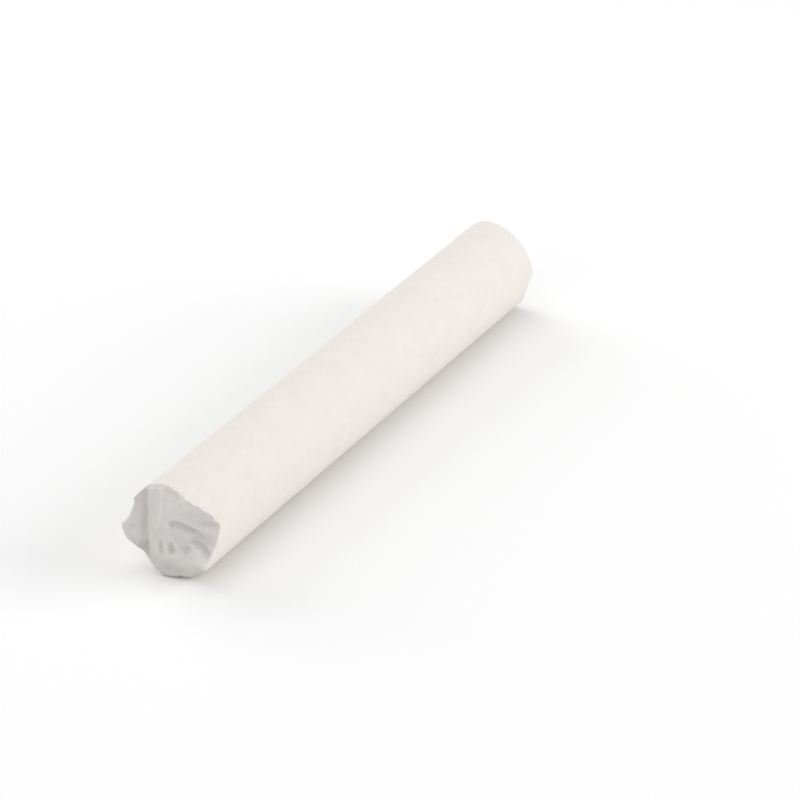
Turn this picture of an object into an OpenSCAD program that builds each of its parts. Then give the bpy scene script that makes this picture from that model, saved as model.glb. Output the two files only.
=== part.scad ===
// A stick of white chalk: snapped off at one end, cast at the other, where it is worn and chipped.
// The axis runs along X, from the break at -X to the cast end at +X, and the barrel lies on Z = 0.
// Sides are angles round the axis, in degrees, that start at +Y and turn towards +Z.

/* [Stick] */
// Overall length, from the tallest tooth of the break to the cast end
stick_length = 80; // [45:1:130]
// Diameter of the barrel
stick_d = 9.5; // [7:0.1:14]
// Rounding of the rim round the cast end
end_round = 0.6; // [0.2:0.1:1.2]

/* [Worn bevel on the cast end] */
// Side of the barrel on which the bevel lies
bevel_side = 145; // [0:1:359]
// How far back from the cast end the bevel reaches
bevel_reach = 2.4; // [1:0.1:4]
// Angle between the bevel and the square end face
bevel_angle = 28; // [15:1:45]

/* [Chip on the cast end] */
// Side of the barrel on which the chip lies
chip_side = 200; // [0:1:359]
// How far back from the cast end the chip reaches
chip_reach = 3.4; // [1:0.1:5]
// Angle between the chip and the square end face
chip_angle = 70; // [45:1:75]

/* [Broken end] */
// Height of the tallest tooth above the mean plane of the break
tooth_height = 1.9; // [0.8:0.1:3]
// Height of the hub near the middle, from which the ridges spread
hub_height = 0.5; // [0:0.1:1]
// Place of the hub along Y, from the axis
hub_y = 0.1; // [-1:0.1:1]
// Place of the hub along Z, from the axis
hub_z = 0.3; // [-1:0.1:1]

/* [Hidden] */
$fn = 96;

// The break is a star of flat facets, and each row is one spoke from its hub to the rim:
// [side, share of the radius and height of its inner point,
//        share of the radius and height of its outer point, height at the rim].
// Heights are in parts of the tallest tooth, above the mean plane of the break.
SPOKES = [
    [  4, 0.49,  0.12, 0.67, -0.60,  0.50],   // long lobe beside the groove
    [ 12, 0.50,  0.12, 0.68, -0.60, -0.66],   // wall above the lobe
    [ 30, 0.56,  0.14, 0.78, -0.60, -0.30],
    [ 48, 0.40,  0.15, 0.72,  0.12, -0.58],   // upper mouth of the groove
    [ 66, 0.32,  0.15, 0.65,  0.15, -0.12],
    [ 84, 0.30,  0.12, 0.65,  0.18,  0.15],
    [100, 0.30,  0.10, 0.65,  0.22,  0.45],
    [118, 0.30,  0.15, 0.65,  0.38,  0.85],   // upper right tooth
    [140, 0.30,  0.10, 0.60,  0.30,  0.38],
    [163, 0.33, -0.18, 0.65,  0.15, -0.28],
    [178, 0.33, -0.15, 0.56, -0.22,  0.15],   // curved groove
    [193, 0.30,  0.05, 0.68, -0.25,  0.58],
    [206, 0.30,  0.12, 0.62,  0.38,  1.00],   // tallest tooth
    [226, 0.30,  0.12, 0.65,  0.32,  0.10],
    [245, 0.40,  0.18, 0.65,  0.20, -0.10],
    [268, 0.38, -0.20, 0.64,  0.05, -0.12],   // pit under the hub
    [285, 0.40,  0.14, 0.66,  0.10, -0.12],
    [300, 0.50,  0.10, 0.74,  0.05, -0.40],
    [318, 0.60,  0.12, 0.86, -0.60, -0.65],   // lower mouth of the groove
    [334, 0.54,  0.12, 0.74, -0.72, -0.05],
    [350, 0.50,  0.12, 0.67, -0.62,  0.30]
];

stick_r = stick_d / 2;
spokes = len(SPOKES);

// The mean plane of the break stands back from the end of the stick by the tallest tooth.
break_x = tooth_height * max([for (s = SPOKES) s[5]]) - stick_length / 2;
cast_x = stick_length / 2;

// The facets run on past the barrel to this share of its radius, so that the barrel trims them.
overshoot = 1.3;
tool_depth = 3 * tooth_height;

// Height at a share of the radius, on the line from a spoke's outer point through its rim.
function beyond(s, share) = s[4] + (s[5] - s[4]) * (share - s[3]) / (1 - s[3]);

function break_point(side, share, height) = [
    break_x - tooth_height * height,
    stick_r * share * cos(side),
    stick_r * share * sin(side)
];

BREAK_POINTS = concat(
    [for (s = SPOKES) break_point(s[0], s[1], s[2])],
    [for (s = SPOKES) break_point(s[0], s[3], s[4])],
    [for (s = SPOKES) break_point(s[0], overshoot, beyond(s, overshoot))],
    [for (s = SPOKES) break_point(s[0], overshoot, tool_depth)],
    [[break_x - hub_height, hub_y, hub_z]],
    [break_point(0, 0, tool_depth)]
);

// The band of triangles between one ring of spoke points and the next.
function band(ring) = [for (i = [0 : spokes - 1], half = [0, 1])
    let (j = (i + 1) % spokes, a = ring * spokes, b = a + spokes)
    half == 0 ? [a + i, a + j, b + i] : [a + j, b + j, b + i]];

// The fan of triangles between a ring and one point in its middle.
function fan(ring, middle, turned) = [for (i = [0 : spokes - 1])
    let (j = (i + 1) % spokes, a = ring * spokes)
    turned ? [a + j, a + i, middle] : [a + i, a + j, middle]];

// What the break took away: everything on the -X side of the star of facets.
module lost_piece() {
    polyhedron(
        points = BREAK_POINTS,
        faces = concat(fan(0, 4 * spokes, true), band(0), band(1), band(2),
                       fan(3, 4 * spokes + 1, false)),
        convexity = 6
    );
}

// The barrel as it was cast, with its rim rounded and a little length to spare for the break.
module barrel() {
    cast_length = stick_length + tooth_height;
    translate([cast_x - cast_length, 0, 0])
        rotate([0, 90, 0])
            rotate_extrude()
                union() {
                    square([stick_r, cast_length - end_round]);
                    square([stick_r - end_round, cast_length]);
                    translate([stick_r - end_round, cast_length - end_round]) circle(end_round);
                }
}

// A flat cut that starts on the barrel's surface, reach back from the cast end, on the given side,
// and leans out of the square end face by the given angle.
module flat_cut(side, reach, angle) {
    size = 4 * stick_d;
    translate([cast_x - reach, 0, 0])
        rotate([side, 0, 0])
            translate([0, stick_r, 0])
                rotate([0, 0, angle])
                    translate([0, -size / 2, -size / 2])
                        cube(size);
}

module chalk_stick() {
    color("#EFECE4")
        translate([0, 0, stick_r])
            difference() {
                barrel();
                lost_piece();
                flat_cut(bevel_side, bevel_reach, bevel_angle);
                flat_cut(chip_side, chip_reach, chip_angle);
            }
}

chalk_stick();
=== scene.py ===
# %% [markdown]
# # A broken stick of white chalk
#
# The real thing is a round stick of blackboard chalk, 80 mm long and 9.5 mm thick.
# It was poured as a slurry of gypsum and water into a mould, and set into one brittle piece.
# One end still has its cast face, rounded and worn by use. The other was snapped off by hand,
# and shows the rough inside of the stick.
#
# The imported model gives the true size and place. Its break is a star of flat facets, so this lesson
# makes one new skin for the whole stick, with the fine ridges, steps and crumbs that a break has.

# %% Load the fixed frame
import math

import bpy
import numpy as np
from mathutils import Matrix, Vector


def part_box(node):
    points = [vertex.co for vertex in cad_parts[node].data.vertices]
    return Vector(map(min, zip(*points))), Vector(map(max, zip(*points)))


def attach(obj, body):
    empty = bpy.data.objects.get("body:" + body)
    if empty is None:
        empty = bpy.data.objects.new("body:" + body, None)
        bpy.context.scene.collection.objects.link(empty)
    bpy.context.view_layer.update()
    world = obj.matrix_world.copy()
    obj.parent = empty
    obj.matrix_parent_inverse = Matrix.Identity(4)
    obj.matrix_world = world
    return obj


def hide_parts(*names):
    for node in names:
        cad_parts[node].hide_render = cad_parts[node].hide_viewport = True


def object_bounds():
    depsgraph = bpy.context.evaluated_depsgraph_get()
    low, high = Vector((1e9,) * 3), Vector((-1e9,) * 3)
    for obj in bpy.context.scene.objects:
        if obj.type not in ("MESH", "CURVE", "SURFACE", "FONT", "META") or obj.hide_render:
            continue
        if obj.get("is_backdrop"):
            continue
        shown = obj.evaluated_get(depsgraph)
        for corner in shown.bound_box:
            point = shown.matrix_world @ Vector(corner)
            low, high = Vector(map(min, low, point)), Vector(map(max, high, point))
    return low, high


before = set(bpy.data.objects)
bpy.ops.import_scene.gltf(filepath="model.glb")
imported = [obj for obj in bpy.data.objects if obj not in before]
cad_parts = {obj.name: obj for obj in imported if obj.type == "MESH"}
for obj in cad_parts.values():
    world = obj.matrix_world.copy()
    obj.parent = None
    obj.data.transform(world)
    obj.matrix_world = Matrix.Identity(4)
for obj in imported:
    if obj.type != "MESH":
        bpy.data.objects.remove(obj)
cad_low, cad_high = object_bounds()
print("nodes in the frame:", sorted(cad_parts))
print("box in mm:", [round(1000 * v, 2) for v in (*cad_low, *cad_high)])

# %% [markdown]
# ## Sizes
#
# Work on something as small as chalk is easier in millimetres, so every shape below is made in mm
# and turned to metres once, when it becomes a mesh. The stick's radius, its axis and its two ends
# are read from the frame, so that the new skin can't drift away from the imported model.

# %% Read the stick's sizes from the frame
MM = 0.001
low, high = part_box("chalk_stick")
RADIUS = (high.z - low.z) / 2 / MM
AXIS_Z = (high.z + low.z) / 2 / MM
BREAK_TIP = low.x / MM
CAST_FACE = high.x / MM
print(f"radius {RADIUS:.3f} mm, axis {AXIS_Z:.3f} mm up")
print(f"ends at {BREAK_TIP:.2f} and {CAST_FACE:.2f} mm")

# %% [markdown]
# ## The viewpoint
#
# A long lens from half a metre away, a little above the stick and nearly along it, shows the break
# from the front and lets the barrel run away behind it. Azimuth 0 looks along +Y, and a negative
# azimuth walks round towards the broken end.

# %% Set up the camera
CAMERA_AZIMUTH = math.radians(-66.35)
CAMERA_ELEVATION = math.radians(21.95)
CAMERA_DISTANCE = 481.0
CAMERA_AIM = Vector((1.9, -5.3, 3.9))
LENS = 220
SENSOR = 36

camera_data = bpy.data.cameras.new("long_lens")
camera_data.lens = LENS
camera_data.sensor_width = SENSOR
camera_data.clip_start = 0.01
camera_data.clip_end = 50
camera = bpy.data.objects.new("camera", camera_data)
bpy.context.scene.collection.objects.link(camera)
bpy.context.scene.camera = camera
towards_camera = Vector((
    math.sin(CAMERA_AZIMUTH) * math.cos(CAMERA_ELEVATION),
    -math.cos(CAMERA_AZIMUTH) * math.cos(CAMERA_ELEVATION),
    math.sin(CAMERA_ELEVATION),
))
camera.location = (CAMERA_AIM + towards_camera * CAMERA_DISTANCE) * MM
camera.rotation_mode = "QUATERNION"
camera.rotation_quaternion = (-towards_camera).to_track_quat("-Z", "Y")
print("camera at", [round(v / MM, 1) for v in camera.location], "mm")

# %% [markdown]
# ## Noise from a box of random numbers
#
# Chalk has no regular pattern: it is lumps of every size. Such roughness can be made by putting a
# random number on each corner of a grid of cells and blending smoothly between the corners.
# Adding finer and weaker copies gives lumps on lumps. The random numbers come from a fixed seed,
# so that every run makes the same stick.

# %% Make the noise functions
SEED = 41
random = np.random.default_rng(SEED)
LATTICE_SIZE = 32
# Each finer layer of noise is moved on by this many mm, so that no two layers peak at one place.
LAYER_SHIFT = 7.3
LATTICE = random.uniform(-1, 1, (LATTICE_SIZE,) * 3)


def lumps(points, size):
    """Smooth noise from -1 to 1. Each point is divided by size, which gives a cell and a place in it;
    the 8 corner numbers are blended with the weight 3t^2 - 2t^3 along each axis."""
    place = points / size
    cell = np.floor(place).astype(int)
    t = place - cell
    t = t * t * (3 - 2 * t)
    total = np.zeros(points.shape[:-1])
    for corner in np.ndindex(2, 2, 2):
        weight = np.prod(np.where(corner, t, 1 - t), axis=-1)
        i, j, k = np.moveaxis((cell + corner) % LATTICE_SIZE, -1, 0)
        total += weight * LATTICE[i, j, k]
    return total


def lumps_on_lumps(points, size, layers):
    """The sum of several layers of noise, each half the size and half the height of the last."""
    return sum(lumps(points + LAYER_SHIFT * n, size / 2**n) / 2**n for n in range(layers))


print("noise on a test line:", np.round(lumps(np.linspace([0, 0, 0], [3, 2, 1], 4), 0.7), 2))

# %% [markdown]
# ## The lines of the break
#
# A break in chalk is made of small faces that meet in crests and valleys. The eye reads it by those
# lines, so they are what is drawn here. Each line is a short list of points, and a point is
# its place across the stick (y to the left, z up, from the axis) and its height: how far it stands
# out of the mean plane of the break, towards -X. All of them are in mm.

# %% Draw the rim, the crests and the valleys
TALLEST = 1.9
MEAN_PLANE = BREAK_TIP + TALLEST

# The rim is given by its side, an angle in degrees from +Y towards +Z, and its height.
RIM = [
    (5, 0.90), (9, -1.00), (13, -1.30), (18, -1.25), (30, -0.55), (36, 0.10), (42, -0.50), (49, -1.05),
    (54, -1.00), (60, -0.60), (66, -0.25), (72, 0.00), (82, 0.25), (95, 0.72), (104, 1.00), (112, 1.30),
    (118, 1.75), (123, 1.45), (132, 1.10), (143, 0.60), (152, 0.00), (159, -0.40), (166, -0.55),
    (172, -0.10), (178, 0.30), (186, 0.70), (194, 1.20), (200, 1.65), (206, 2.00), (212, 1.60),
    (219, 0.90), (226, 0.22), (235, -0.02), (245, -0.08), (255, -0.12), (271, -0.12), (283, -0.02),
    (293, -0.26), (301, -0.60), (311, -1.05), (321, -1.25), (330, -0.70), (339, 0.05), (348, 0.45),
]

LINES = {
    # the straight groove down the left, from rim to rim, deepest along its right side
    "groove_floor": [(2.90, 3.40, -0.92), (2.68, 2.80, -0.64), (2.60, 2.20, -0.47), (2.58, 1.40, -0.37),
                     (2.58, 0.00, -0.34), (2.56, -1.15, -0.22), (2.68, -1.65, -0.62),
                     (2.88, -2.20, -0.85), (3.20, -3.05, -1.20)],
    "groove_left_foot": [(3.12, 3.00, -0.72), (3.00, 2.50, -0.50), (2.94, 1.30, -0.33),
                         (2.94, 0.20, -0.29), (2.94, -0.70, -0.26), (2.96, -1.15, -0.16),
                         (3.08, -1.70, -0.48)],
    "groove_left_edge": [(3.40, 3.00, -0.48), (3.31, 2.40, -0.25), (3.26, 1.30, -0.06),
                         (3.24, 0.40, 0.02), (3.24, -0.50, 0.05), (3.26, -1.15, 0.02),
                         (3.60, -1.90, -0.15)],
    "groove_right_edge": [(2.48, 3.70, -0.30), (2.43, 2.60, 0.00), (2.41, 1.40, 0.05),
                          (2.38, 0.20, 0.05), (2.34, -0.80, 0.08), (2.36, -1.60, 0.00),
                          (2.45, -2.60, -0.25), (2.65, -3.60, -0.65)],
    "groove_right_lip": [(2.32, 2.60, 0.00), (2.30, 1.40, 0.05), (2.27, 0.20, 0.06),
                         (2.23, -0.80, 0.09)],
    # the lobe left of the groove
    "lobe_edge": [(4.60, 0.40, 0.60), (4.33, 0.96, 0.15), (4.12, 1.50, -0.02), (4.05, 2.00, -0.20)],
    "lobe_face": [(4.30, 0.10, 0.58), (3.85, 0.40, 0.25), (4.20, -0.90, 0.36), (3.75, -0.70, 0.24)],
    "lobe_top": [(3.78, 2.40, -0.28), (3.74, 1.60, -0.06), (3.72, 1.00, 0.04)],
    # the strip right of the groove, and the ridge along it
    "strip_middle": [(1.90, 3.90, -0.05), (1.86, 2.60, 0.05), (1.86, 1.40, 0.10), (1.98, 0.50, 0.12)],
    "ridge_left_foot": [(1.22, 4.25, 0.16), (1.20, 3.00, 0.22), (1.30, 2.00, 0.23), (1.46, 1.00, 0.24),
                        (1.72, 0.30, 0.22)],
    "main_ridge": [(0.64, 4.45, 0.50), (0.64, 3.20, 0.58), (0.76, 2.20, 0.56), (0.94, 1.20, 0.48),
                   (1.32, 0.38, 0.34)],
    "ridge_right_foot": [(0.36, 4.25, 0.42), (0.34, 3.10, 0.48), (0.42, 2.00, 0.47),
                         (0.56, 1.35, 0.44)],
    "second_crest": [(0.12, 3.80, 0.54), (0.08, 2.60, 0.60), (0.16, 1.80, 0.54)],
    # the upper right face: it ends in a step over the curved groove
    "step_edge": [(0.10, 1.22, 0.36), (-0.20, 1.38, 0.42), (-1.08, 1.38, 0.42), (-1.68, 1.13, 0.38),
                  (-2.36, 0.88, 0.34), (-3.37, 0.66, 0.26), (-4.40, 0.48, 0.10)],
    "curved_groove": [(-0.08, 1.00, 0.11), (-0.35, 1.14, -0.02), (-1.00, 1.12, -0.13),
                      (-1.60, 0.90, -0.24), (-2.20, 0.66, -0.28), (-2.80, 0.36, -0.14)],
    "groove_bed": [(-0.12, 0.76, 0.08), (-0.90, 0.78, -0.08), (-1.60, 0.60, -0.18),
                   (-2.20, 0.34, -0.20)],
    "groove_lower_side": [(-0.14, 0.52, 0.22), (-0.80, 0.50, 0.14), (-1.60, 0.28, 0.06),
                          (-2.20, 0.05, 0.00)],
    "upper_face": [(-0.80, 2.60, 0.54), (-1.60, 3.20, 0.78), (-2.40, 2.80, 0.68), (-1.60, 2.20, 0.50)],
    "rim_recess": [(-0.10, 4.05, 0.32), (-0.60, 3.86, 0.38), (-1.05, 3.68, 0.48)],
    "recess_edge": [(0.10, 3.75, 0.46), (-0.50, 3.45, 0.54), (-1.10, 3.20, 0.62), (-1.30, 3.70, 0.85)],
    "valley_edge": [(-1.90, 2.20, 0.46), (-2.90, 2.05, 0.36), (-3.70, 1.90, 0.20),
                    (-4.20, 1.85, -0.02)],
    "faint_valley": [(-1.90, 1.75, 0.34), (-2.60, 1.60, 0.20), (-3.30, 1.45, 0.00),
                     (-4.20, 1.25, -0.32)],
    # the wide valley that the curved groove runs out into
    "valley_floor": [(-2.80, -0.10, -0.20), (-3.40, -0.15, -0.10), (-3.90, -0.30, -0.01),
                     (-4.35, -0.40, 0.20)],
    "cleft_edge": [(-2.45, -0.33, -0.10), (-3.05, -0.48, -0.06), (-3.58, -0.84, 0.12),
                   (-4.08, -1.20, 0.46)],
    "tooth_wall_foot": [(-2.38, -0.63, -0.15), (-2.97, -0.80, -0.16), (-3.52, -1.20, 0.04),
                        (-4.06, -1.55, 0.56)],
    "tooth_crest": [(-2.15, -0.98, 0.34), (-2.60, -1.02, 0.54), (-3.14, -1.18, 0.84),
                    (-3.62, -1.50, 1.06), (-4.16, -1.78, 1.55)],
    # the face of the tall tooth at the lower right
    "tooth_face": [(-1.35, -2.00, 0.32), (-2.00, -2.60, 0.44), (-2.90, -2.40, 0.78),
                   (-2.40, -1.80, 0.54), (-2.00, -3.30, 0.28), (-1.10, -3.00, 0.28)],
    # the hub, and the short ridges that spread down from it
    "hub": [(0.26, 1.08, 0.46), (-0.02, 0.60, 0.52), (0.04, 0.12, 0.50)],
    "left_ray": [(0.04, -0.40, 0.45), (0.28, -1.00, 0.36), (0.30, -1.70, 0.33), (0.28, -2.20, 0.30)],
    "right_ray": [(-0.15, -0.60, 0.46), (-0.55, -1.10, 0.46), (-1.00, -1.60, 0.42),
                  (-1.35, -1.92, 0.35)],
    "ray_right_foot": [(-0.55, -0.62, 0.24), (-0.92, -1.10, 0.21), (-1.28, -1.50, 0.10)],
    "pit": [(0.02, -1.05, 0.12), (0.10, -1.45, -0.04), (-0.24, -1.80, -0.06), (0.10, -1.88, -0.08)],
    "pit_foot": [(0.20, -2.22, 0.30), (-0.20, -2.20, 0.32), (-0.62, -2.10, 0.34)],
    "left_patch": [(1.15, 0.05, 0.24), (0.70, 0.20, 0.30)],
    "left_hollow": [(1.40, -0.45, 0.16), (0.75, -0.55, 0.20)],
    "dark_strip": [(1.18, -1.20, 0.08), (1.16, -1.60, -0.02), (1.16, -2.20, 0.02)],
    "dark_strip_bed": [(0.98, -1.15, 0.08), (0.96, -1.60, -0.04), (0.96, -2.20, 0.00)],
    "dark_strip_edge": [(0.76, -0.95, 0.28), (0.74, -1.60, 0.32), (0.72, -2.30, 0.28)],
    "left_strip": [(1.32, -0.90, 0.18), (1.32, -1.60, 0.20), (1.32, -2.30, 0.15)],
    "left_strip_edge": [(1.95, -0.70, 0.18), (1.95, -1.50, 0.16), (1.95, -2.30, 0.08)],
    "right_hollow": [(-0.95, -0.50, 0.22), (-1.40, -1.00, 0.14), (-1.62, -1.42, -0.12)],
    "spot_foot": [(-1.42, -1.72, 0.10), (-1.75, -1.74, 0.20), (-1.98, -1.45, 0.24)],
    "right_patch": [(-0.60, 0.05, 0.26), (-1.40, -0.15, 0.18), (-1.90, -0.60, 0.12)],
    # the slope that falls away to the bottom of the rim
    "lower_edge": [(1.80, -2.70, 0.04), (0.90, -2.50, 0.28), (0.00, -2.35, 0.38), (-0.80, -2.50, 0.35),
                   (-1.60, -3.10, 0.32)],
    "lower_hollow": [(1.00, -3.30, 0.00), (0.40, -3.10, 0.08), (-0.20, -3.15, 0.08),
                     (-0.90, -3.45, 0.02), (-1.60, -3.95, -0.04)],
    "lower_slope": [(0.80, -3.80, -0.30), (0.00, -3.75, -0.34), (-0.80, -3.95, -0.28)],
}
print(len(LINES), "lines and a rim of", len(RIM), "points")

# %% [markdown]
# ## Stretch a film over the lines
#
# The lines are like wires, and the break is a soap film that hangs on them. Between the wires a film
# is as flat as it can be, and it has a crease along each wire, as broken chalk has along its crests
# and valleys. One pin that pulls on a film gives it the shape of a logarithm, so the film's height is
# a sum of logarithms of distance, one for each known point. The strength of each pull is found by
# solving one set of equations, so that the film passes through the points.

# %% Find the pull of each point on the film
POINT_SPACING = 0.12
RIM_STEP = 1.5
# The wire's thickness in mm keeps the logarithm finite at the point itself.
WIRE = 0.06
# A little slack at every point keeps neighbours from pulling hard against each other.
SLACK = 0.005


def along(points, spacing=POINT_SPACING):
    """Points at an even spacing on the straight stretches between the points of a line."""
    points = np.array(points, float)
    steps = np.linalg.norm(np.diff(points[:, :2], axis=0), axis=1)
    travelled = np.concatenate([[0], np.cumsum(steps)])
    count = max(2, int(round(travelled[-1] / spacing)) + 1)
    at = np.linspace(0, travelled[-1], count)
    return np.stack([np.interp(at, travelled, points[:, i]) for i in range(3)], axis=1)


def rim_height(side):
    """Height of the rim at a side in radians, on straight stretches between the points of RIM."""
    sides, heights = np.radians([s for s, _ in RIM]), [h for _, h in RIM]
    return np.interp(side, sides, heights, period=2 * math.pi)


def stretch(square_distances):
    """Shape of a film round one pin: the logarithm of distance squared plus wire thickness squared."""
    return np.log(square_distances + WIRE**2)


rim_side = np.radians(np.arange(0, 360, RIM_STEP))
rim_points = np.stack(
    [RADIUS * np.cos(rim_side), RADIUS * np.sin(rim_side), rim_height(rim_side)], axis=1)
known = np.concatenate([rim_points] + [along(line) for line in LINES.values()])
count = len(known)
square_distances = ((known[:, None, :2] - known[None, :, :2]) ** 2).sum(axis=2)
system = np.zeros((count + 1, count + 1))
system[:count, :count] = stretch(square_distances) - SLACK * np.eye(count)
system[:count, count] = 1
system[count, :count] = 1
pulls = np.linalg.solve(system, np.append(known[:, 2], 0))


def film(y, z):
    """Height of the film: the sum over the known points of pull times stretch, plus a constant."""
    total = np.full(y.shape, pulls[-1])
    for (known_y, known_z, _), pull in zip(known, pulls):
        total += pull * stretch((y - known_y) ** 2 + (z - known_z) ** 2)
    return total


missed = np.abs(film(known[:, 0], known[:, 1]) - known[:, 2]).max()
print(count, "known points; the film misses them by at most", round(float(missed), 3), "mm")

# %% [markdown]
# ## Small flat scales
#
# Under the hand the faces of a break aren't smooth: each is made of flat scales under a millimetre
# across, where clumps of crystals let go together. A scale can be made by giving every point to
# its nearest scale centre, and tilting each scale by its own small slope. The tilt fades out at the
# borders, so that neighbours meet at one height. Two sizes of scale, with noise for the loose grains
# on them, give the crumbled look at every distance.

# %% Add the scales and the grain
BORDER_SHARE = 0.25
# Of each size of scale: its width in mm, and the usual slope of its tilt.
LARGE_SCALES = (0.95, 0.045)
SMALL_SCALES = (0.40, 0.09)
GRAIN_HEIGHT, GRAIN_WIDTH = 0.018, 0.5


def scales(y, z, width, tilt):
    """Height of flat scales: the nearest centre's slope times the offset from it, times a fade. The
    fade is how much further the second nearest centre is, over a quarter of the width, up to 1."""
    count = int((2 * RADIUS / width) ** 2)
    centres = random.uniform(-RADIUS, RADIUS, (count, 2))
    slopes = random.normal(0, tilt, (count, 2))
    nearest = np.zeros(y.shape, int)
    shortest = np.full(y.shape, np.inf)
    second = np.full(y.shape, np.inf)
    for number, (centre_y, centre_z) in enumerate(centres):
        distance = np.hypot(y - centre_y, z - centre_z)
        nearest = np.where(distance < shortest, number, nearest)
        second = np.minimum(second, np.maximum(distance, shortest))
        shortest = np.minimum(distance, shortest)
    slope_y, slope_z = np.moveaxis(slopes[nearest], -1, 0)
    centre_y, centre_z = np.moveaxis(centres[nearest], -1, 0)
    plane = slope_y * (y - centre_y) + slope_z * (z - centre_z)
    return plane * np.clip((second - shortest) / (BORDER_SHARE * width), 0, 1)


def grain(y, z):
    """Crumbs on the scales: three layers of noise, the coarsest half a millimetre wide."""
    return GRAIN_HEIGHT * lumps_on_lumps(np.stack([y, z, 0 * y], axis=-1), GRAIN_WIDTH, 3)


print("scales of", LARGE_SCALES[0], "and", SMALL_SCALES[0], "mm, and grain of", GRAIN_WIDTH, "mm")

# %% [markdown]
# ## One grid for the whole stick
#
# A stick is a surface of two parameters: how far along its outline a point is, and how far round.
# The outline starts in the middle of the break, runs out to the rim, along the barrel, over the
# cast end's rim and in to the middle of the cast face. Rows lie closest where the shape changes
# fastest, which is at both rims, and spread out along the plain barrel.

# %% Lay out the rows and the sides
SIDES = 288
BREAK_ROWS = 96
CAST_ROWS = 46
# A power above 1 crowds the break's rows together towards the rim.
RIM_CROWDING = 1.3
# Steps along the barrel, in mm: the first at each rim, its growth from row to row, and the longest.
BREAK_STEP, BREAK_GROWTH = 0.03, 1.06
CAST_STEP, CAST_GROWTH = 0.05, 1.12
LONGEST_STEP = 0.6
# More steps than the barrel has room for: those that don't fit are cut off.
MANY_STEPS = 200
# The steps that shorten again towards the cast end, and the length kept free for them, in mm.
CAST_STEPS, CAST_STRETCH = 26, 5
side = np.linspace(0, 2 * math.pi, SIDES, endpoint=False)

break_share = 1 - (1 - np.linspace(0, 1, BREAK_ROWS)) ** RIM_CROWDING
cast_share = np.sin(np.linspace(math.pi / 2, 0, CAST_ROWS))

opening = np.minimum(BREAK_STEP * BREAK_GROWTH**np.arange(MANY_STEPS), LONGEST_STEP)
opening = opening[np.cumsum(opening) < CAST_FACE - BREAK_TIP - CAST_STRETCH]
closing = np.minimum(CAST_STEP * CAST_GROWTH**np.arange(CAST_STEPS), LONGEST_STEP)[::-1]
barrel_share = np.cumsum(np.concatenate([opening, closing]))
barrel_share = barrel_share / barrel_share[-1]
rows = BREAK_ROWS + len(barrel_share) + CAST_ROWS - 1
print(rows, "rows of", SIDES, "points, or about", 2 * rows * SIDES, "triangles")

# %% [markdown]
# ## Crumbled edges
#
# Chalk has no sharp edges for long. Along the break, grains fall from the rim and leave it rounded
# by a tenth of a millimetre or so, more in some places than in others. Along the bottom, where the
# stick has been dragged over the table, the rounding grows to half a millimetre. Here and there a
# flake of the cast skin has gone.

# %% Shape the rim of the break
EDGE_WEAR = 0.10
# The wear changes by up to about this share of itself, in patches this many mm wide.
WEAR_CHANGE, WEAR_PATCH = 0.7, 1.1
# The wear along the bottom is greatest at this side, and fades out 60 degrees away from it.
BOTTOM_WEAR = 0.45
BOTTOM_SIDE = math.radians(265)

# Flakes lost from the rim: side in degrees, width and length in mm, depth in mm.
FLAKES = [
    (62, 0.5, 0.5, 0.12), (97, 0.8, 0.35, 0.10), (109, 0.6, 0.5, 0.16), (127, 0.9, 0.45, 0.15),
    (139, 0.5, 0.6, 0.10), (157, 0.7, 0.4, 0.12), (188, 0.6, 0.6, 0.14), (229, 1.0, 0.5, 0.16),
    (262, 0.8, 0.4, 0.12), (290, 0.6, 0.7, 0.15), (338, 0.8, 0.5, 0.12), (24, 0.7, 0.5, 0.14),
]


def flakes(around, from_rim):
    """Depth lost from the skin at a side, that far back from the rim: for each flake, its depth
    times 1 - (offset round / half width)^2 - (distance back / length)^2, where that is above 0."""
    depth = np.zeros(np.broadcast(around, from_rim).shape)
    for degrees, width, length, deep in FLAKES:
        offset = (around - math.radians(degrees) + math.pi) % (2 * math.pi) - math.pi
        bowl = 1 - (2 * RADIUS * offset / width) ** 2 - (from_rim / length) ** 2
        depth = np.maximum(depth, deep * np.clip(bowl, 0, None))
    return depth


def rounding(inside, radius):
    """How far a rounded edge stands back, that far inside the skin: radius minus the height of a
    quarter circle."""
    short = np.clip(radius - inside, 0, None)
    return radius - np.sqrt(np.clip(radius**2 - short**2, 0, None))


circle = np.stack([np.cos(side), np.sin(side), 0 * side], axis=-1) * RADIUS
edge_wear = EDGE_WEAR * (1 + WEAR_CHANGE * lumps_on_lumps(circle, WEAR_PATCH, 3))
edge_wear += BOTTOM_WEAR * np.clip(2 * np.cos(side - BOTTOM_SIDE) - 1, 0, None)
rim_radius = RADIUS - flakes(side, 0.0)
print(f"edge wear from {edge_wear.min():.3f} to {edge_wear.max():.3f} mm")

# %% [markdown]
# ## The break
#
# The rows of the break are rings round its middle, each drawn in to follow the chipped rim. Their
# height is that of the film, plus the scales and the grain, less the rounding at the rim. A tooth
# that would pass the end of the stick is folded back inside it.

# %% Work out the break's rows
break_radius = break_share[:, None] * rim_radius
break_y = break_radius * np.cos(side)
break_z = break_radius * np.sin(side)
break_height = film(break_y, break_z)
break_height += scales(break_y, break_z, *LARGE_SCALES)
break_height += scales(break_y, break_z, *SMALL_SCALES)
break_height += grain(break_y, break_z)
break_height -= rounding(rim_radius - break_radius, edge_wear)
break_height = TALLEST - np.abs(TALLEST - break_height)
break_height[0] = break_height[0].mean()
break_x = MEAN_PLANE - break_height
print(f"break stands from {break_height.min():.2f} to {break_height.max():.2f} mm")

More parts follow.
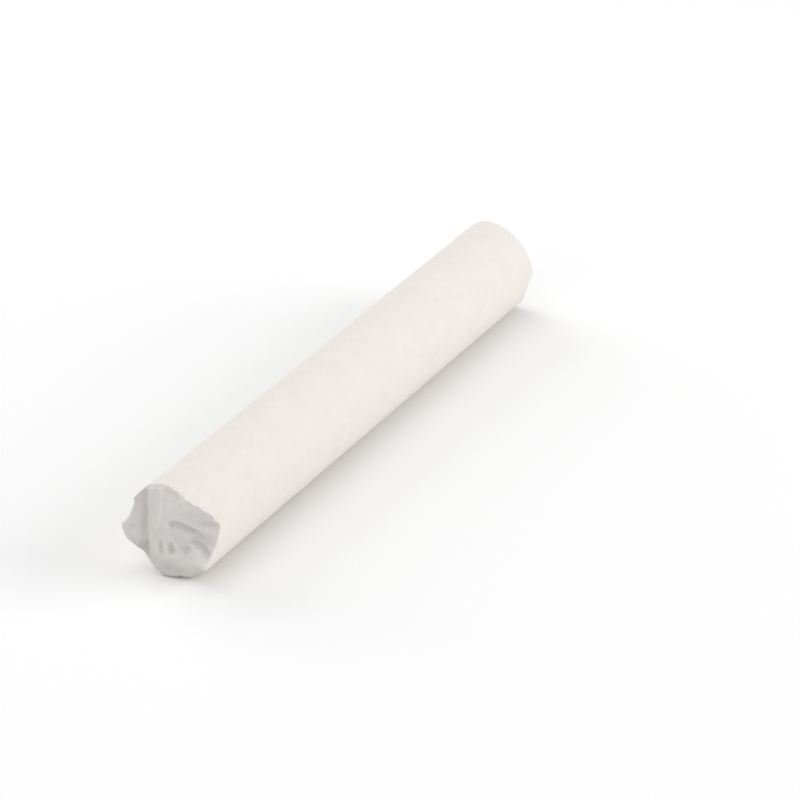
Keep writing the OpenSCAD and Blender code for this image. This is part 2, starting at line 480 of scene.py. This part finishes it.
# %% [markdown]
# ## The cast end
#
# The cast face is square, with a rim that the mould rounded. Writing has worn a slanted flat across
# one side of it, and a chip is gone from the edge beside that. Each is a plane, made a little uneven
# with noise: where it lies below the face, it wins, and a soft minimum rounds the corner between
# them as rubbing does. Last, every edge at the rim loses a few hundredths of a millimetre.

# %% Work out the cast end's rows
END_ROUND = 0.5
# Of each plane: its side in degrees, how far back it meets the barrel in mm, and its slant in degrees.
BEVEL_SIDE, BEVEL_REACH, BEVEL_ANGLE = 145, 2.4, 28
CHIP_SIDE, CHIP_REACH, CHIP_ANGLE = 200, 3.4, 70
# How uneven each plane is, how wide its lumps are, and how soft its corner with the face is, in mm.
BEVEL_UNEVEN, BEVEL_LUMP, BEVEL_SOFT = 0.05, 1.6, 0.16
CHIP_UNEVEN, CHIP_LUMP, CHIP_SOFT = 0.16, 1.0, 0.12
LAST_WEAR = 0.06


def slant(y, z, degrees, reach, angle):
    """Height of a plane that meets the barrel reach back from the end, on that side, and rises
    inwards by the tangent of its angle."""
    towards = y * math.cos(math.radians(degrees)) + z * math.sin(math.radians(degrees))
    return (RADIUS - towards) * math.tan(math.radians(angle)) - reach


def soft_minimum(a, b, softness):
    """The smaller of a and b, with the corner between them rounded off: the mean less half the
    square root of their difference squared plus softness squared."""
    return (a + b) / 2 - np.sqrt((a - b) ** 2 + softness**2) / 2


cast_radius = cast_share[:, None] * RADIUS * np.ones(SIDES)
cast_y = cast_radius * np.cos(side)
cast_z = cast_radius * np.sin(side)
cast_points = np.stack([cast_y, cast_z, 0 * cast_y], axis=-1)
face = -rounding(RADIUS - cast_radius, END_ROUND)
bevel = slant(cast_y, cast_z, BEVEL_SIDE, BEVEL_REACH, BEVEL_ANGLE)
bevel += BEVEL_UNEVEN * lumps_on_lumps(cast_points, BEVEL_LUMP, 4)
chip = slant(cast_y, cast_z, CHIP_SIDE, CHIP_REACH, CHIP_ANGLE)
chip += CHIP_UNEVEN * lumps_on_lumps(cast_points, CHIP_LUMP, 4)
cast_height = soft_minimum(soft_minimum(face, bevel, BEVEL_SOFT), chip, CHIP_SOFT)
cast_height -= rounding(RADIUS - cast_radius, LAST_WEAR)
cast_height = np.minimum(cast_height, 0)
cast_height[-1] = cast_height[-1].mean()
cast_x = CAST_FACE + cast_height
print(f"cast end stands back by up to {-cast_height.min():.2f} mm at its rim")

# %% [markdown]
# ## The barrel
#
# Between the two rims the rows are straight blends of one into the other. The mould leaves the
# barrel round to within a few hundredths of a millimetre, with shallow waves along it.

# %% Work out the barrel's rows and join the three parts
# Half the waves' depth and their width round the barrel, in mm.
WAVE_DEPTH, WAVE_WIDTH = 0.012, 2.6
# Along X the noise is read this much more slowly, which draws the waves out to four times as long.
WAVE_STRETCH = 0.25
# The waves fade out over this distance from each rim, in mm.
WAVE_FADE = 0.5
barrel_x = break_x[-1] + (cast_x[0] - break_x[-1]) * barrel_share[:-1, None]
round_the_barrel = np.broadcast_to(circle, (*barrel_x.shape, 3))
barrel_points = round_the_barrel + barrel_x[..., None] * [WAVE_STRETCH, 0, 0]
waves = WAVE_DEPTH * (1 + lumps(barrel_points, WAVE_WIDTH))
waves = waves * np.minimum(1, (barrel_x - break_x[-1]) / WAVE_FADE)
waves = waves * np.minimum(1, (cast_x[0] - barrel_x) / WAVE_FADE)
barrel_radius = RADIUS - np.maximum(waves, flakes(side, barrel_x - break_x[-1]))

x = np.concatenate([break_x, barrel_x, cast_x])
r = np.concatenate([break_radius, barrel_radius, cast_radius])
skin = np.stack([x, r * np.cos(side), AXIS_Z + r * np.sin(side)], axis=-1)
print("skin of", skin.shape[0], "rows")

# %% [markdown]
# ## From a grid to a closed mesh
#
# Every four neighbouring points make a face. The first and last rows have shrunk to one point each,
# so they are kept once, with a fan of triangles round them. The points of a face are listed so that
# it looks outwards.

# %% Build the mesh
def closed_skin(name, grid):
    """A mesh from a grid that closes on itself round the stick and has a single point at each end."""
    middle = grid[1:-1].reshape(-1, 3)
    points = np.concatenate([grid[:1, 0], middle, grid[-1:, 0]]) * MM
    here = 1 + np.arange(len(middle)).reshape(-1, SIDES)
    beside = np.roll(here, -1, axis=1)
    quads = np.stack([here[:-1], beside[:-1], beside[1:], here[1:]], axis=-1).reshape(-1, 4)
    last = len(points) - 1
    first_fan = np.stack([np.zeros(SIDES, int), beside[0], here[0]], axis=-1)
    last_fan = np.stack([np.full(SIDES, last), here[-1], beside[-1]], axis=-1)
    mesh = bpy.data.meshes.new(name)
    mesh.from_pydata(points, [], quads.tolist() + first_fan.tolist() + last_fan.tolist())
    mesh.polygons.foreach_set("use_smooth", np.ones(len(mesh.polygons), bool))
    mesh.update()
    return mesh


def per_point(grid_values):
    """The same values in the order of closed_skin's points."""
    middle = grid_values[1:-1].ravel()
    return np.concatenate([grid_values[:1, 0], middle, grid_values[-1:, 0]]).astype(np.float32)


mesh = closed_skin("broken_chalk_stick", skin)
stick = bpy.data.objects.new("broken_chalk_stick", mesh)
bpy.context.scene.collection.objects.link(stick)
print(len(mesh.vertices), "points and", sum(len(p.vertices) - 2 for p in mesh.polygons), "triangles")

# %% [markdown]
# ## Marks for the finish
#
# The finish differs over the stick: the cast skin is smooth and a little warm, the broken inside is
# greyer and coarser, and the worn flat is in between. Crests and tall parts of the break are made
# whiter, for loose powder and as a painted highlight, and hollows greyer as painted shade. Two
# numbers on each point tell the material where it is: how broken the surface is, from 0 to 1, and
# how raised it is, from -1 to 1.

# %% Store how broken and how raised each point is
# A point is compared with the film at this many places round it, this many mm away.
LOOK_PLACES, LOOK_AROUND = 8, 0.35
# Standing this far above its surroundings makes a point a full crest, in mm.
CREST_RISE = 0.7
# Above the mean plane, the painted highlight starts at the first height and is full that much
# further up, in mm.
PALE_FROM, PALE_RISE = 0.1, 1.0
# The worn flat is this much like broken chalk, and each cut's border fades over this depth in mm.
WORN_SHARE = 0.35
CUT_FADE = 0.1


def raised(y, z, height):
    """How far a point stands above its neighbourhood: its height less the mean of the film's height
    at eight places round it."""
    turn = np.linspace(0, 2 * math.pi, LOOK_PLACES, endpoint=False)
    steps = LOOK_AROUND * np.stack([np.cos(turn), np.sin(turn)], axis=1)
    around = sum(film(y + step_y, z + step_z) for step_y, step_z in steps) / LOOK_PLACES
    return height - around


def store(mesh, name, values):
    """Keeps one number for each point under a name that a material can read."""
    attribute = mesh.attributes.new(name, "FLOAT", "POINT")
    attribute.data.foreach_set("value", per_point(values))


worn = WORN_SHARE * np.clip((face - bevel) / CUT_FADE, 0, 1)
chipped = np.clip((np.minimum(face, bevel) - chip) / CUT_FADE, 0, 1)
broken = np.concatenate([np.ones_like(break_x), np.zeros_like(barrel_x), np.maximum(worn, chipped)])
# The crest mark sets the painted highlight on crests and tall parts, and the painted shade in hollows.
crest = np.zeros_like(x)
above_surroundings = raised(break_y, break_z, break_height) / CREST_RISE
above_plane = (break_height - PALE_FROM) / PALE_RISE
crest[:BREAK_ROWS] = np.clip(above_surroundings + above_plane, -1, 1)
store(mesh, "broken", broken)
store(mesh, "crest", crest)
print("crest runs from", round(float(crest.min()), 2), "to", round(float(crest.max()), 2))

# %% [markdown]
# ## Colours and nodes
#
# A material is a tree of nodes. One helper turns the hex colours that people write into the linear
# ones that the renderer works with, one adds a node with its settings and links, and one turns a
# real size in millimetres into the scale of a pattern.

# %% Write the helpers for colours and nodes
def linear(hex_colour):
    """Linear red, green, blue and alpha from an sRGB hex colour: below 0.04045 each channel is divided
    by 12.92, and above it is ((c + 0.055) / 1.055) to the power 2.4."""
    channels = np.array([int(hex_colour[i:i + 2], 16) for i in (1, 3, 5)]) / 255
    curve = np.where(channels <= 0.04045, channels / 12.92, ((channels + 0.055) / 1.055) ** 2.4)
    return (*curve.tolist(), 1.0)


def add_node(tree, kind, settings=None, values=None):
    """Adds a node, sets its properties from settings, and for each input in values either links the
    socket it is given or stores the value."""
    node = tree.nodes.new(kind)
    for name, value in (settings or {}).items():
        setattr(node, name, value)
    for name, value in (values or {}).items():
        if isinstance(value, bpy.types.NodeSocket):
            tree.links.new(value, node.inputs[name])
        else:
            node.inputs[name].default_value = value
    return node


def per_millimetre(size):
    """Noise scale that gives lumps of that many millimetres on Object coordinates, which are metres."""
    return 1 / (size * MM)


print("a hex colour of #808080 is", round(linear("#808080")[0], 3), "in linear light")

# %% [markdown]
# ## The colours of cast gypsum chalk
#
# Blackboard chalk is calcium sulphate, cast and dried. It is a mass of needle crystals with air
# between them, so light scatters many times before it leaves: the surface is a warm white, nearly
# as bright at its edges as in its middle. The broken inside has no skin, and is more neutral.

# %% Start the chalk material
CAST_SKIN = "#F3EEE9"
CAST_SKIN_DUSTY = "#EEE9E4"
BROKEN_FACE = "#EEEBE9"
# The hollow colour is painted shade; the crest colour is loose powder and a painted highlight.
BROKEN_HOLLOW_PAINTED_SHADE = "#E2DEDB"
BROKEN_CREST_POWDER_AND_HIGHLIGHT = "#F7F4F2"
# Painted shade for the inside of the open bubbles.
BUBBLE_PAINTED_SHADE = "#DDD6CF"

chalk = bpy.data.materials.new("cast_gypsum_chalk")
chalk.use_nodes = True
tree = chalk.node_tree
tree.nodes.clear()
place = add_node(tree, "ShaderNodeTexCoord").outputs["Object"]
is_broken = add_node(tree, "ShaderNodeAttribute", {"attribute_name": "broken"}).outputs["Fac"]
is_crest = add_node(tree, "ShaderNodeAttribute", {"attribute_name": "crest"}).outputs["Fac"]
print("the material reads the place and the marks of each point")

# %% [markdown]
# ## Dust on the skin
#
# The skin carries a film of dust, in clouds two millimetres wide and in specks a third of a
# millimetre wide. It takes the eye off the plainness of the barrel without being seen itself.

# %% Mix the colour of the dusty skin
DUST_CLOUD, DUST_SPECK = 2.2, 0.35
# The sum of the two noises lies mostly between these: all dust at the first, and none at the second.
DUSTY_AT, CLEAN_AT = 0.75, 1.25

clouds = add_node(tree, "ShaderNodeTexNoise", None, {
    "Vector": place, "Scale": per_millimetre(DUST_CLOUD), "Detail": 5.0, "Roughness": 0.6})
specks = add_node(tree, "ShaderNodeTexNoise", None, {
    "Vector": place, "Scale": per_millimetre(DUST_SPECK), "Detail": 4.0, "Roughness": 0.7})
dust = add_node(tree, "ShaderNodeMath", {"operation": "ADD"}, {
    0: clouds.outputs["Fac"], 1: specks.outputs["Fac"]})
clean = add_node(tree, "ShaderNodeMapRange", None, {
    "Value": dust.outputs["Value"], "From Min": DUSTY_AT, "From Max": CLEAN_AT})
dusty_skin = add_node(tree, "ShaderNodeMix", {"data_type": "RGBA"}, {
    "Factor": clean.outputs["Result"], "A": linear(CAST_SKIN_DUSTY), "B": linear(CAST_SKIN)})
print("dust in clouds of", DUST_CLOUD, "mm and specks of", DUST_SPECK, "mm")

# %% [markdown]
# ## Bubbles in the skin
#
# A few bubbles of the slurry have left open pits up to a quarter of a millimetre wide. Space is cut
# into cells with one bubble centre in each. Two cells out of five hold a bubble, of any size up to
# the largest, and it shows where the skin happens to cut it. Each pit is painted darker, as painted
# shade in the hollow.

# %% Paint shade into the open bubbles
BUBBLE_SPACING, BUBBLE_RADIUS = 0.9, 0.12
LARGEST_IN_CELL = BUBBLE_RADIUS / BUBBLE_SPACING
# Each cell has a random number from 0 to 1, and those under this one hold no bubble.
EMPTY_CELLS = 0.6
# A bubble's painted shade and its depth fade in over this share of the largest radius.
PIT_FADE = 0.5

cells = add_node(tree, "ShaderNodeTexVoronoi", None, {
    "Vector": place, "Scale": per_millimetre(BUBBLE_SPACING)})
bubble_radius = add_node(tree, "ShaderNodeMapRange", None, {
    "Value": cells.outputs["Color"], "From Min": EMPTY_CELLS, "From Max": 1.0,
    "To Max": LARGEST_IN_CELL})
into_bubble = add_node(tree, "ShaderNodeMath", {"operation": "SUBTRACT"}, {
    0: bubble_radius.outputs["Result"], 1: cells.outputs["Distance"]})
bubble = add_node(tree, "ShaderNodeMapRange", None, {
    "Value": into_bubble.outputs["Value"], "From Max": PIT_FADE * LARGEST_IN_CELL})
# The pits are painted darker: painted shade in the hollow of each bubble.
skin_colour = add_node(tree, "ShaderNodeMix", {"data_type": "RGBA"}, {
    "Factor": bubble.outputs["Result"], "A": dusty_skin.outputs["Result"],
    "B": linear(BUBBLE_PAINTED_SHADE)})
print("bubbles up to", 2 * BUBBLE_RADIUS, "mm wide")

# %% [markdown]
# ## The colour of the broken inside
#
# On a break the crests are made a powdery white, partly for loose powder and partly as a painted
# highlight, and the hollows a light grey as painted shade. The mark that says how raised a point is
# picks between the three colours.

# %% Mix the colour of the broken inside and join it to the skin's
# The mark at which the painted shade of a hollow starts and is full, and at which the powder and
# painted highlight of a crest starts and is full.
HOLLOW_FROM, HOLLOW_FULL = 0.1, -1.0
CREST_FROM, CREST_FULL = 0.0, 0.8

# Hollows get painted shade, and crests powder with a painted highlight.
painted_shade_amount = add_node(tree, "ShaderNodeMapRange", None, {
    "Value": is_crest, "From Min": HOLLOW_FROM, "From Max": HOLLOW_FULL})
powder_and_highlight_amount = add_node(tree, "ShaderNodeMapRange", None, {
    "Value": is_crest, "From Min": CREST_FROM, "From Max": CREST_FULL})
face_and_painted_shade = add_node(tree, "ShaderNodeMix", {"data_type": "RGBA"}, {
    "Factor": painted_shade_amount.outputs["Result"], "A": linear(BROKEN_FACE), "B": linear(BROKEN_HOLLOW_PAINTED_SHADE)})
inside = add_node(tree, "ShaderNodeMix", {"data_type": "RGBA"}, {
    "Factor": powder_and_highlight_amount.outputs["Result"], "A": face_and_painted_shade.outputs["Result"],
    "B": linear(BROKEN_CREST_POWDER_AND_HIGHLIGHT)})
colour = add_node(tree, "ShaderNodeMix", {"data_type": "RGBA"}, {
    "Factor": is_broken, "A": skin_colour.outputs["Result"], "B": inside.outputs["Result"]})
print("colour made with", len(tree.nodes), "nodes")

# %% [markdown]
# ## The grain of the skin
#
# The crystals are 20 to 50 micrometres long, too fine to show, so the grain is drawn three to eight
# times as coarse. On the skin it is very shallow, and is crossed by faint lines along the stick,
# where the stick was drawn out of its mould. Noise that is squeezed along X makes such lines.

# %% Raise the grain of the skin
SKIN_GRAIN = 0.16
DRAG_LINE = 0.5
DRAG_SQUEEZE = (0.04, 1, 1)
# Beside the grain's height of 1, a bubble is this deep and a drag line this high.
BUBBLE_DEPTH = 1.2
DRAG_HEIGHT = 0.8
SKIN_RELIEF, SKIN_STRENGTH = 0.05, 0.6

fine_grain = add_node(tree, "ShaderNodeTexNoise", None, {
    "Vector": place, "Scale": per_millimetre(SKIN_GRAIN), "Detail": 3.0, "Roughness": 0.7})
along_stick = add_node(tree, "ShaderNodeVectorMath", {"operation": "MULTIPLY"}, {
    0: place, 1: DRAG_SQUEEZE})
drag_lines = add_node(tree, "ShaderNodeTexNoise", None, {
    "Vector": along_stick.outputs["Vector"], "Scale": per_millimetre(DRAG_LINE), "Detail": 3.0})
grain_and_pits = add_node(tree, "ShaderNodeMath", {"operation": "MULTIPLY_ADD"}, {
    0: bubble.outputs["Result"], 1: -BUBBLE_DEPTH, 2: fine_grain.outputs["Fac"]})
skin_height = add_node(tree, "ShaderNodeMath", {"operation": "MULTIPLY_ADD"}, {
    0: drag_lines.outputs["Fac"], 1: DRAG_HEIGHT, 2: grain_and_pits.outputs["Value"]})
skin_bump = add_node(tree, "ShaderNodeBump", None, {
    "Height": skin_height.outputs["Value"], "Strength": SKIN_STRENGTH, "Distance": SKIN_RELIEF * MM})
print("skin grain of", SKIN_GRAIN, "mm")

# %% [markdown]
# ## The crumbs of the break
#
# On the break, clumps of crystals stand up as crumbs a quarter of a millimetre wide. The relief of
# the break itself is in the mesh: only what is finer than its grid is left to the material. The
# crumbs rise and sink about the skin's own level, so that no step shows where the break begins.

# %% Raise the crumbs of the break
CRUMB = 0.28
CRUMB_RELIEF, CRUMB_STRENGTH = 0.14, 1.0

crumbs = add_node(tree, "ShaderNodeTexNoise", None, {
    "Vector": place, "Scale": per_millimetre(CRUMB), "Detail": 5.0, "Roughness": 0.75})
crumb_rise = add_node(tree, "ShaderNodeMath", {"operation": "SUBTRACT"}, {
    0: crumbs.outputs["Fac"], 1: 0.5})
crumb_height = add_node(tree, "ShaderNodeMath", {"operation": "MULTIPLY"}, {
    0: crumb_rise.outputs["Value"], 1: is_broken})
crumb_bump = add_node(tree, "ShaderNodeBump", None, {
    "Height": crumb_height.outputs["Value"], "Strength": CRUMB_STRENGTH,
    "Distance": CRUMB_RELIEF * MM, "Normal": skin_bump.outputs["Normal"]})
print("crumbs of", CRUMB, "mm")

# %% [markdown]
# ## The surface
#
# Chalk has no shine. Gypsum bends light by 1.52, but its powdery surface sends almost none of it
# back as a reflection, so the shader is rough all over and its mirror part is weak.

# %% Add the shader
surface = add_node(tree, "ShaderNodeBsdfPrincipled", None, {
    "Base Color": colour.outputs["Result"], "Roughness": 0.95, "Diffuse Roughness": 0.4,
    "IOR": 1.52, "Specular IOR Level": 0.15, "Normal": crumb_bump.outputs["Normal"]})
add_node(tree, "ShaderNodeOutputMaterial", None, {"Surface": surface.outputs["BSDF"]})
mesh.materials.append(chalk)
print("chalk material with", len(tree.nodes), "nodes")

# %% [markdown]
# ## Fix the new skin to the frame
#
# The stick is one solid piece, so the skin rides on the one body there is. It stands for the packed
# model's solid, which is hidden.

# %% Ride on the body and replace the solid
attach(stick, "root")
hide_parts("chalk_stick")
print("the new skin replaces the node chalk_stick")

# %% [markdown]
# ## Floor and background
#
# The stick lies on a plain white table that runs out of sight. The eye sees the table and the
# background as white, while the light that the table throws back up under the stick is a little
# weaker, as from matt paper. The stick's soft shadow stays on it.

# %% Lay the floor
def white_to_the_eye(tree, seen, other, shader):
    """Mixes two shaders of one kind: seen for the rays that reach the eye straight or by way of a
    mirror or glass, and other for the rest."""
    path = add_node(tree, "ShaderNodeLightPath")
    mirrored = add_node(tree, "ShaderNodeMath", {"operation": "MAXIMUM"}, {
        0: path.outputs["Is Glossy Ray"], 1: path.outputs["Is Transmission Ray"]})
    looked_at = add_node(tree, "ShaderNodeMath", {"operation": "MAXIMUM"}, {
        0: path.outputs["Is Camera Ray"], 1: mirrored.outputs["Value"]})
    for_light = add_node(tree, shader, None, other)
    for_eye = add_node(tree, shader, None, seen)
    mixed = add_node(tree, "ShaderNodeMixShader", None, {
        0: looked_at.outputs["Value"], 1: for_light.outputs[0], 2: for_eye.outputs[0]})
    return mixed.outputs["Shader"]


# The table's side, in metres.
FLOOR_SIZE = 8.0
FLOOR_SEEN = "#FFFFFF"
FLOOR_BOUNCE = "#DEDDDB"
half = FLOOR_SIZE / 2
floor_mesh = bpy.data.meshes.new("white_table")
corners = [(-half, -half, 0), (half, -half, 0), (half, half, 0), (-half, half, 0)]
floor_mesh.from_pydata(corners, [], [(0, 1, 2, 3)])
floor = bpy.data.objects.new("white_table", floor_mesh)
bpy.context.scene.collection.objects.link(floor)
matt = bpy.data.materials.new("matt_white_paper")
matt.use_nodes = True
matt.node_tree.nodes.clear()
floor_surface = white_to_the_eye(
    matt.node_tree, {"Color": linear(FLOOR_SEEN)}, {"Color": linear(FLOOR_BOUNCE)},
    "ShaderNodeBsdfDiffuse")
add_node(matt.node_tree, "ShaderNodeOutputMaterial", None, {"Surface": floor_surface})
floor_mesh.materials.append(matt)
floor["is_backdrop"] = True
print("white table", FLOOR_SIZE, "m square")

# %% [markdown]
# ## Light
#
# The light is that of a white tent: soft from all round, with a large panel on each side, the right
# one the stronger, and a weak one overhead and in front of the break. So the barrel is nearly even,
# and the break, which looks out between the side panels, is greyer and shows its relief. A panel is
# almost as large as it is far away, which keeps every shadow soft. All of it together gives a level
# at which a colour comes out about as it is written.

# %% Light the tent
TENT_WHITE = "#FFFFFF"
AMBIENT = 0.46

world = bpy.data.worlds.new("white_tent")
world.use_nodes = True
world.node_tree.nodes.clear()
sky = white_to_the_eye(
    world.node_tree, {"Color": linear(TENT_WHITE), "Strength": 1.0},
    {"Color": linear(TENT_WHITE), "Strength": AMBIENT}, "ShaderNodeBackground")
add_node(world.node_tree, "ShaderNodeOutputWorld", None, {"Surface": sky})
bpy.context.scene.world = world
print("tent lit at", AMBIENT)

# %% [markdown]
# ## Panels
#
# Each panel is given by the way to it from the middle of the stick, and its power in watts.

# %% Hang the panels
PANEL_SIZE = 0.6
PANEL_DISTANCE = 0.7
PANELS = {
    "overhead_panel": ((-0.20, 0.20, 0.95), 1.0),
    "right_panel": ((0.35, -0.90, 0.25), 3.7),
    "left_panel": ((0.35, 0.85, 0.40), 2.3),
    "front_panel": ((-0.85, 0.05, 0.40), 0.9),
}


def soft_panel(name, direction, watts):
    """A square area lamp that hangs in that direction from the stick's middle and faces it."""
    lamp = bpy.data.lights.new(name, "AREA")
    lamp.shape = "SQUARE"
    lamp.size = PANEL_SIZE
    lamp.energy = watts
    panel = bpy.data.objects.new(name, lamp)
    away = Vector(direction).normalized()
    panel.location = away * PANEL_DISTANCE
    panel.rotation_mode = "QUATERNION"
    panel.rotation_quaternion = (-away).to_track_quat("-Z", "Y")
    bpy.context.scene.collection.objects.link(panel)


for name, (direction, watts) in PANELS.items():
    soft_panel(name, direction, watts)

bpy.context.scene.view_settings.view_transform = "Standard"
print(len(PANELS), "panels of", PANEL_SIZE, "m at", PANEL_DISTANCE, "m")

# %% [markdown]
# ## The size of the new skin
#
# Both boxes are printed, the imported model's and the new skin's. The new skin has to keep to
# the imported model's box.

# %% Print both boxes
seen_low, seen_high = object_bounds()
boxes = {"cad": [list(cad_low), list(cad_high)], "visual": [list(seen_low), list(seen_high)]}
for name, (lowest, highest) in boxes.items():
    print(name, "box in mm:", [round(v / MM, 3) for v in (*lowest, *highest)])
